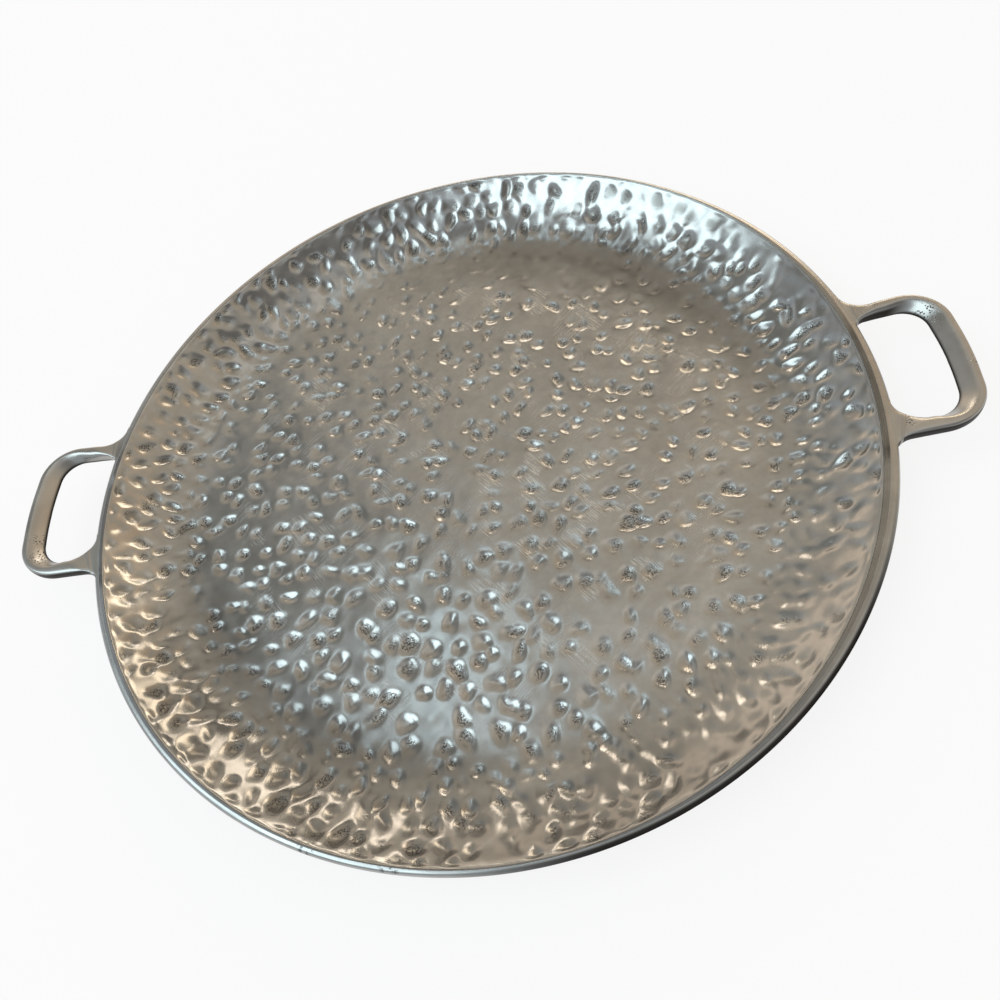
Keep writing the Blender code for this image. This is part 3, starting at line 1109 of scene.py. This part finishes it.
        number = np.arange(len(a)).reshape(self.cells + 1, self.cells + 1)
        border = np.concatenate([number[-1, :-1], number[::-1, -1][:-1],
                                 number[0, ::-1][:-1], number[:-1, 0]])
        outside = self.outside_section()
        angle = bearing[border]
        sunk = ease(outside[:, 1], self.top - self.rim_thickness, self.top - self.under_depth)
        shift = self.band_shift(angle)
        reach = np.clip(self.band_width - shift - self.least_band, self.least_edge, self.edge_reach)
        inset = np.clip((self.radius - outside[:, 0]) / self.edge_reach, 0.0, 1.0) * (1.0 - sunk)
        radius = outside[:, :1] + np.multiply.outer(sunk, shift)
        radius += np.multiply.outer(inset, self.edge_reach - reach)
        rings = np.stack([radius * np.cos(angle), radius * np.sin(angle),
                          np.repeat(outside[:, 1:], len(angle), axis=1)], axis=2)
        points = np.concatenate([inside, rings.reshape(-1, 3), [[0.0, 0.0, 0.0]]])
        numbers = np.concatenate([border, len(a) + np.arange(rings[..., 0].size)])
        rim = numbers[grid_faces(len(outside) + 1, len(angle), False, True)]
        field = grid_faces(self.cells + 1, self.cells + 1, False, False)
        cap = fan_faces(numbers[-len(angle):], len(points) - 1)
        dish = closed_mesh("hammered_dish", points, np.concatenate([field[:, ::-1], rim]), cap)
        for name, values in layers.items():
            beyond = np.full(len(points) - len(a), 1.0 if name == "band" else 0.0)
            paint(dish, name, np.concatenate([values, beyond]))
        # The casting's dull grey underneath, and painted shade on the lower half of the rim's edge.
        under = np.arange(len(outside))
        paint(dish, "under", np.concatenate([
            np.zeros(len(a)), np.repeat(ease(under, *self.skin_and_shade_rings), len(angle)), [1.0]]))
        # Painted shade: near black on a stretch of the rim's outer edge at the near right.
        painted_edge_shade = ease(np.cos(angle - self.edge_shade_bearing), *self.edge_shade_turn)
        edge = ease(under, *self.edge_shade_rings) * ease(under, *self.edge_shade_end)
        paint(dish, "painted_edge_shade", np.concatenate([
            np.zeros(len(a)), np.multiply.outer(edge, painted_edge_shade).ravel(), [0.0]]))
        paint(dish, "pitted", pitted(self.pits, points))
        return dish

    def dress(self, dish: bpy.types.Object) -> None:
        """Give the dish its finish and stand it for its CAD node."""
        dish.data.materials.append(HammeredFinish().material())
        settle(dish, "dish")


@dataclass
class LoopHandle:
    """A flat loop of cast metal whose two arms spread into feet on the rim's edge.

    The loop is worked out for the right end of the tray; the left one is turned half round.
    """

    side: Side
    rim_radius: float
    rim_top: float
    width: float = 80.5 * MM
    reach: float = 40.8 * MM
    arm_width: float = 8.5 * MM
    grip_width: float = 11.5 * MM
    grip_bow: float = 3.2 * MM
    bow_radius: float = 170.0 * MM
    outer_corner: float = 21.0 * MM
    inner_corner: float = 12.0 * MM
    rear_flares: Pair = (12.0 * MM, 5.0 * MM)
    front_flares: Pair = (7.0 * MM, 13.0 * MM)
    front_extra: float = 1.8 * MM
    foot_line: float = -1.2 * MM
    shown_line: float = -1.6 * MM
    buried: float = 4.0 * MM
    rim_middle: float = 2.25 * MM
    thickness: float = 6.5 * MM
    root_thickness: float = 4.6 * MM
    hidden_thickness: float = 3.4 * MM
    lift: float = 1.5 * MM
    tilt: float = 5 * DEG
    root_length: float = 12.0 * MM
    arm_lean: float = 0.30
    arm_zone: Limits = (2.0 * MM, 14.0 * MM)
    grip_lean: float = 0.65
    grip_zone: Limits = (14.0 * MM, 30.0 * MM)
    roundness: float = 3.4
    root_roundness: float = 5.0
    around: int = 64
    buried_rows: int = 4
    flare_rows: int = 16
    arm_rows: int = 8
    corner_rows: int = 20
    bow_rows: int = 9
    # Painted shade, near black: underneath, on the outer face, low on the inner face, and up the inner
    # face of the right handle's rear arm.
    outer_painted_shade: Limits = (0.75, 0.4)
    inner_painted_shade: Limits = (-0.05, -0.4)
    rear_painted_shade: Limits = (0.5, 0.1)
    rear_painted_shade_end: Limits = (30.0 * MM, 17.0 * MM)
    pits: tuple[Pit, ...] = (
        Pit(-234 * MM, -17 * MM, 4 * MM), Pit(-231 * MM, -27 * MM, 6 * MM),
        Pit(242 * MM, -8 * MM, 3 * MM), Pit(232 * MM, 26 * MM, 6 * MM),
        Pit(206 * MM, -28 * MM, 3 * MM), Pit(205 * MM, -34 * MM, 3 * MM))

    def half_edge(self, width: float, reach: float, corner: float, flare: float,
                  outward: float) -> Array:
        """Trace one edge of the loop's far half in plan, from inside the rim to the grip's middle.

        The edge leaves the rim along its tangent, turns into the arm by a flare, and into the
        grip by the corner's arc; the grip leans back from its bowed middle.

        Args:
            width: The edge's distance from the loop's middle line.
            reach: How far the edge stands from the rim at the middle of the grip.
            corner: The corner's radius.
            flare: How far the foot spreads beyond the arm.
            outward: 1 for the outer edge, -1 for the inner one.

        Returns:
            Points of (x, y), the same count for both edges.
        """
        middle = (self.width - self.arm_width) / 2
        angle = math.asin(middle / self.rim_radius)
        radial = np.array([math.cos(angle), math.sin(angle)])
        tangent = np.array([-radial[1], radial[0]])
        line = radial * (self.rim_radius + self.foot_line)
        root = line + tangent * (width - line[1]) / tangent[1]
        tip = root + tangent * outward * flare
        bend = np.array([self.rim_radius + reach - self.grip_bow, width])
        grip = np.array([self.rim_radius + reach, 0.0])
        mirrored = bend * np.array([1.0, -1.0])
        turn = math.pi / 2 - outward * angle
        spread_arc = fillet(tip, root, bend, flare / math.tan(turn / 2), self.flare_rows)
        bend_arc = fillet(root, bend, grip, corner, self.corner_rows)
        bow_arc = fillet(bend, grip, mirrored, self.bow_radius, 2 * self.bow_rows - 1)[:self.bow_rows]
        share = np.linspace(0.0, 1.0, self.arm_rows + 2)[1:-1, None]
        hidden = np.linspace(1.0, 0.0, self.buried_rows + 1)[:-1, None]
        return np.concatenate([
            spread_arc[0] - radial * self.buried * hidden, spread_arc,
            spread_arc[-1] + (bend_arc[0] - spread_arc[-1]) * share, bend_arc,
            bend_arc[-1] + (bow_arc[0] - bend_arc[-1]) * share[::2], bow_arc])

    def arm_edges(self, arm: Arm) -> tuple[Array, Array]:
        """Trace both edges of one half of the loop, as if it were the far half.

        Args:
            arm: The half's arm.

        Returns:
            The outer and the inner edge.
        """
        front = arm is Arm.FRONT
        outer_flare, inner_flare = self.front_flares if front else self.rear_flares
        half = self.width / 2
        inner = half - self.arm_width - (self.front_extra if front else 0.0)
        return (self.half_edge(half, self.reach, self.outer_corner, outer_flare, 1.0),
                self.half_edge(inner, self.reach - self.grip_width, self.inner_corner,
                               inner_flare, -1.0))

    def edges(self) -> tuple[Array, Array]:
        """Trace both edges of the whole loop, from one root round to the other.

        Returns:
            The outer and the inner edge.
        """
        first, last = (Arm.REAR, Arm.FRONT) if self.side is Side.RIGHT else (Arm.FRONT, Arm.REAR)
        flip = np.array([1.0, -1.0])
        pairs = zip(self.arm_edges(first), self.arm_edges(last))
        outer, inner = (np.concatenate([one, other[-2::-1] * flip]) for one, other in pairs)
        return outer, inner

    def section(self, outer: Array, inner: Array, swell: float = 0.0) -> Array:
        """Carry the handle's section along its two edges.

        The section is a superellipse |c|^n + |s|^n = 1 between the edges, flat at the root and
        rounder along the loop. Its top is drawn towards the outer edge by the lean, so that the
        inner face slants. The middle height starts level with the rim and rises along the
        tilted loop, and the thickness grows from inside the rim to the root and on to the loop.

        Args:
            outer: Points of the outer edge in plan.
            inner: Matching points of the inner edge.
            swell: How far the surface stands off the handle's own.

        Returns:
            The surface, as rows of points round each section.
        """
        middle, half = (outer + inner) / 2, (outer - inner) / 2
        out = np.hypot(middle[:, 0], middle[:, 1])[:, None] - self.rim_radius
        grown = ease(out, 0.0, self.root_length)
        power = 2.0 / (self.root_roundness + (self.roundness - self.root_roundness) * grown)
        angle = np.linspace(0.0, math.tau, self.around, endpoint=False)[None, :]
        across = np.sign(np.cos(angle)) * np.abs(np.cos(angle)) ** power
        up = np.sign(np.sin(angle)) * np.abs(np.sin(angle)) ** power
        shown = ease(out, -self.buried + self.foot_line, self.shown_line)
        root = self.hidden_thickness + (self.root_thickness - self.hidden_thickness) * shown
        thick = root + (self.thickness - self.root_thickness) * grown
        raised = self.lift + self.rim_middle - self.thickness / 2
        height = self.rim_top - self.rim_middle + grown * raised
        height = height + np.maximum(out, 0.0) * math.tan(self.tilt)
        slant = self.arm_lean + (self.grip_lean - self.arm_lean) * ease(out, *self.grip_zone)
        lean = slant * ease(out, *self.arm_zone) * (up + 1.0) / 2
        place = across * (1.0 - lean) + lean
        wide = np.linalg.norm(half, axis=1)[:, None]
        plan = middle[:, None, :] + half[:, None, :] * (place * (1.0 + swell / wide))[..., None]
        tall = height + (thick / 2 + swell) * up
        points = np.concatenate([plan, tall[..., None]], axis=2)
        return points * np.array([self.side.value, self.side.value, 1.0])

    def build(self) -> bpy.types.Object:
        """Make the loop as one closed tube, its two buried ends each closed onto a pole.

        Painted shade is laid underneath and on the outer face, low on the inner face, and up
        the inner face of the right handle's rear arm.

        Returns:
            The handle.
        """
        rows = self.section(*self.edges())
        count = len(rows)
        points = np.concatenate([rows.reshape(-1, 3), rows[0].mean(axis=0)[None],
                                 rows[-1].mean(axis=0)[None]])
        ring = np.arange(self.around)
        caps = np.concatenate([fan_faces(ring[::-1], count * self.around),
                               fan_faces(ring + (count - 1) * self.around, count * self.around + 1)])
        faces = grid_faces(count, self.around, False, True)
        handle = closed_mesh(f"{self.side.name.lower()}_loop_handle", points, faces, caps)
        angle = np.linspace(0.0, math.tau, self.around, endpoint=False)
        up = np.sin(angle)
        out = np.hypot(*rows[..., :2].mean(axis=1).T) - self.rim_radius
        # The under layer is painted shade for the finish.
        rear = (np.arange(count) < count / 2) * (self.side is Side.RIGHT)
        shaded = np.multiply.outer(ease(out, *self.rear_painted_shade_end) * rear, ease(up, *self.rear_painted_shade))
        inner = np.maximum(ease(up, *self.inner_painted_shade), shaded)
        dark = np.where(np.cos(angle) > 0.0, ease(up, *self.outer_painted_shade), inner)
        paint(handle, "under", np.concatenate([dark.ravel(), [1.0, 1.0]]))
        paint(handle, "pitted", pitted(self.pits, points))
        return handle

    def dress(self, handle: bpy.types.Object, finish: bpy.types.Material) -> None:
        """Give the handle its finish and stand it for its CAD node."""
        handle.data.materials.append(finish)
        settle(handle, f"{self.side.name.lower()}_handle")


@dataclass
class DressedWeld:
    """The weld round one foot of a handle, filed down until it barely stands proud."""

    handle: LoopHandle
    arm: Arm
    first: int = 11
    last: int = 14
    proud: float = 0.05 * MM
    edge_sunk: float = 0.03 * MM
    sunk: float = 0.9 * MM

    @property
    def node(self) -> str:
        """Name of the CAD node that the weld stands for."""
        return f"{self.handle.side.name.lower()}_handle_{self.arm.name.lower()}_weld"

    def build(self) -> bpy.types.Object:
        """Make the weld as a closed collar on the handle's own surface.

        The collar's outside rises from just below the handle's surface to a little above it, by
        1 - w^4, where w runs from -1 to 1 across the weld. Its inside lies deeper.

        Returns:
            The weld.
        """
        outer, inner = self.handle.edges()
        if self.arm.value * self.handle.side.value < 0:
            outer, inner = outer[::-1], inner[::-1]
        outer, inner = outer[self.first:self.last + 1], inner[self.first:self.last + 1]
        across = np.linspace(-1.0, 1.0, len(outer))[:, None, None]
        over = self.handle.section(outer, inner, self.proud)
        flush = self.handle.section(outer, inner, -self.edge_sunk)
        under = self.handle.section(outer, inner, -self.sunk)
        top = flush + (over - flush) * (1.0 - across ** 4)
        rows = np.concatenate([top, under[::-1]])
        faces = grid_faces(len(rows), self.handle.around, True, True)
        return closed_mesh(self.node + "_bead", rows.reshape(-1, 3), faces,
                           np.zeros((0, 3), dtype=int))

    def dress(self, weld: bpy.types.Object, finish: bpy.types.Material) -> None:
        """Give the weld its finish and stand it for its CAD node."""
        weld.data.materials.append(finish)
        settle(weld, self.node)


def settle(piece: bpy.types.Object, node: str) -> None:
    """Let a piece ride on the tray and replace its CAD node, which is hidden.

    Args:
        piece: The finished piece.
        node: The CAD node that it stands for.
    """
    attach(piece, "root")
    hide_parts(node)
    LOG.info("%s: %d faces, stands for %s", piece.name, len(piece.data.polygons), node)


def direction(azimuth: float, elevation: float) -> Vector:
    """Turn an azimuth and an elevation into a unit vector."""
    return Vector((math.cos(elevation) * math.cos(azimuth),
                   math.cos(elevation) * math.sin(azimuth), math.sin(elevation)))


@dataclass(frozen=True)
class Patch:
    """A soft-edged lighter or darker patch of the room, by its direction and its two half angles."""

    azimuth: float
    elevation: float
    inner: float
    outer: float
    colour: Colour


@dataclass(frozen=True)
class Lamp:
    """A soft rectangular lamp, placed by its direction from the tray's middle."""

    name: str
    azimuth: float
    elevation: float
    width: float
    height: float
    radiance: float
    colour: Colour
    distance: float = 3.0

    def build(self) -> None:
        """Add the lamp; its power is radiance times pi times its area."""
        toward = direction(self.azimuth, self.elevation)
        data = bpy.data.lights.new(self.name, "AREA")
        data.shape = "RECTANGLE"
        data.size, data.size_y = self.width, self.height
        data.energy = self.radiance * math.pi * self.width * self.height
        data.color = self.colour
        lamp = bpy.data.objects.new(self.name, data)
        lamp.location = toward * self.distance
        lamp.rotation_euler = (-toward).to_track_quat("-Z", "Y").to_euler()
        bpy.context.scene.collection.objects.link(lamp)


@dataclass
class Studio:
    """The pale floor, the soft light and the camera at the photograph's angle."""

    target: Point = (15.14 * MM, -38.06 * MM, 26.5 * MM)
    azimuth: float = -75.76 * DEG
    elevation: float = 57.29 * DEG
    roll: float = -21.44 * DEG
    distance: float = 400.2 * MM
    lens: float = 29.9
    sensor: float = 36.0
    floor_half: float = 4.0
    floor_drop: float = 0.2 * MM
    floor_colour: Colour = (0.92, 0.92, 0.92)
    floor_glow: float = 0.85
    horizon: float = 0.78
    horizon_zone: Limits = (0.05, 0.35)
    walls: float = 0.57
    ceiling: float = 0.62
    ceiling_zone: Limits = (0.60, 0.90)
    warm_side: float = 50 * DEG
    warm_zone: Limits = (-0.4, 0.6)
    warm: Colour = (1.10, 0.98, 0.80)
    cool: Colour = (0.92, 1.00, 1.06)
    patches: tuple[Patch, ...] = (
        Patch(84 * DEG, 37 * DEG, 3 * DEG, 11 * DEG, (0.25, 0.23, 0.20)),
        Patch(145 * DEG, 46 * DEG, 9 * DEG, 23 * DEG, (0.31, 0.31, 0.29)),
        Patch(44 * DEG, 30 * DEG, 6 * DEG, 22 * DEG, (0.81, 0.63, 0.45)),
        Patch(114 * DEG, 0 * DEG, 8 * DEG, 19 * DEG, (1.28, 1.06, 0.84)),
        Patch(190 * DEG, 84 * DEG, 4 * DEG, 15 * DEG, (0.28, 0.27, 0.26)),
        Patch(54 * DEG, 75 * DEG, 5 * DEG, 13 * DEG, (0.98, 0.93, 0.84)),
        Patch(-52 * DEG, 42 * DEG, 16 * DEG, 32 * DEG, (0.25, 0.24, 0.225)),
    )
    lamps: tuple[Lamp, ...] = (
        Lamp("skylight", 126.5 * DEG, 67.5 * DEG, 0.54, 0.38, 1.55, (0.62, 0.87, 1.0)),
        Lamp("side_window", 202 * DEG, 55 * DEG, 2.50, 1.60, 2.6, (0.74, 0.93, 1.0)),
        Lamp("warm_lamp", 67 * DEG, 22 * DEG, 1.20, 0.80, 3.4, (1.0, 0.82, 0.60)),
        Lamp("far_lamp", 92 * DEG, 23 * DEG, 0.72, 0.50, 4.2, (1.0, 0.86, 0.70)),
    )

    def floor(self) -> None:
        """Lay the floor: matt, and lit from within as far as the camera and mirrors see it."""
        half = self.floor_half
        corners = [(-half, -half), (half, -half), (half, half), (-half, half)]
        mesh = bpy.data.meshes.new("floor")
        mesh.from_pydata([(x, y, -self.floor_drop) for x, y in corners], [], [(0, 1, 2, 3)])
        floor = bpy.data.objects.new("floor", mesh)
        bpy.context.scene.collection.objects.link(floor)
        material, graph = new_material("pale_floor")
        path = graph.add("ShaderNodeLightPath", {}).node
        seen = graph.total(path.outputs["Is Camera Ray"], path.outputs["Is Glossy Ray"],
                           path.outputs["Is Transmission Ray"])
        matt = graph.add("ShaderNodeBsdfDiffuse", {"Color": (*self.floor_colour, 1.0)})
        glow = graph.add("ShaderNodeEmission", {"Color": (1.0, 1.0, 1.0, 1.0), "Strength": 1.0})
        share = graph.product(graph.maths("MINIMUM", seen, 1.0), self.floor_glow)
        surface = graph.add("ShaderNodeMixShader", {0: share, 1: matt, 2: glow})
        graph.feed(graph.tree.nodes["Material Output"].inputs["Surface"], surface)
        mesh.materials.append(material)

    def light(self) -> None:
        """Set the room and add the lamps.

        The room is grey walls between a pale horizon and a lighter ceiling, warm towards one
        side and cool towards the other, with a few soft light and dark patches.
        """
        world = bpy.data.worlds.new("plain_room")
        world.use_nodes = True
        graph = ShaderGraph(world.node_tree)
        way = graph.add("ShaderNodeTexCoord", {}, "Generated")
        height = graph.add("ShaderNodeSeparateXYZ", {"Vector": way}, "Z")

        def toward(azimuth: float, elevation: float) -> Socket:
            """Give the cosine between the way looked and a direction."""
            return graph.add("ShaderNodeVectorMath", {0: way, 1: direction(azimuth, elevation)}, "Value",
                             operation="DOT_PRODUCT")

        low = graph.ramp(height, *self.horizon_zone, self.horizon, self.walls)
        level = graph.blend(graph.ramp(height, *self.ceiling_zone), low, self.ceiling)
        warmth = graph.ramp(toward(self.warm_side, 0.0), *self.warm_zone)
        colour = graph.shaded(graph.tint(warmth, (*self.cool, 1.0), (*self.warm, 1.0)), level)
        for patch in self.patches:
            nearness = toward(patch.azimuth, patch.elevation)
            share = graph.ramp(nearness, math.cos(patch.outer), math.cos(patch.inner))
            colour = graph.tint(share, colour, (*patch.colour, 1.0))
        graph.feed(world.node_tree.nodes["Background"].inputs["Color"], colour)
        bpy.context.scene.world = world
        for lamp in self.lamps:
            lamp.build()

    def camera(self) -> None:
        """Place the camera by azimuth, elevation and distance from its target, then roll it."""
        toward = direction(self.azimuth, self.elevation)
        level = Vector((0.0, 0.0, 1.0)).cross(toward).normalized()
        right = Matrix.Rotation(self.roll, 3, toward) @ level
        axes = Matrix((right, toward.cross(right), toward)).transposed()
        data = bpy.data.cameras.new("photo_camera")
        data.lens, data.sensor_width = self.lens, self.sensor
        camera = bpy.data.objects.new("photo_camera", data)
        place = Matrix.Translation(Vector(self.target) + toward * self.distance)
        camera.matrix_world = place @ axes.to_4x4()
        bpy.context.scene.collection.objects.link(camera)
        bpy.context.scene.camera = camera

    def build(self) -> None:
        """Make the whole studio."""
        bpy.context.scene.view_settings.view_transform = "Standard"
        self.floor()
        self.light()
        self.camera()


def main() -> None:
    """Build the tray's pieces in order, then the studio."""
    dish = HammeredDish(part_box("dish")[1])
    dish.dress(dish.build())
    handle_finish = SatinFinish().material()
    weld_finish = SatinFinish(
        "weld_aluminium_finish", metal=(0.38, 0.36, 0.335), roughness=0.36).material()
    for side in Side:
        handle = LoopHandle(side, dish.radius, dish.top)
        handle.dress(handle.build(), handle_finish)
        for arm in Arm:
            weld = DressedWeld(handle, arm)
            weld.dress(weld.build(), weld_finish)
    Studio().build()


if __name__ == "__main__":
    logging.basicConfig(level=logging.INFO, format="%(name)s %(message)s")
    main()
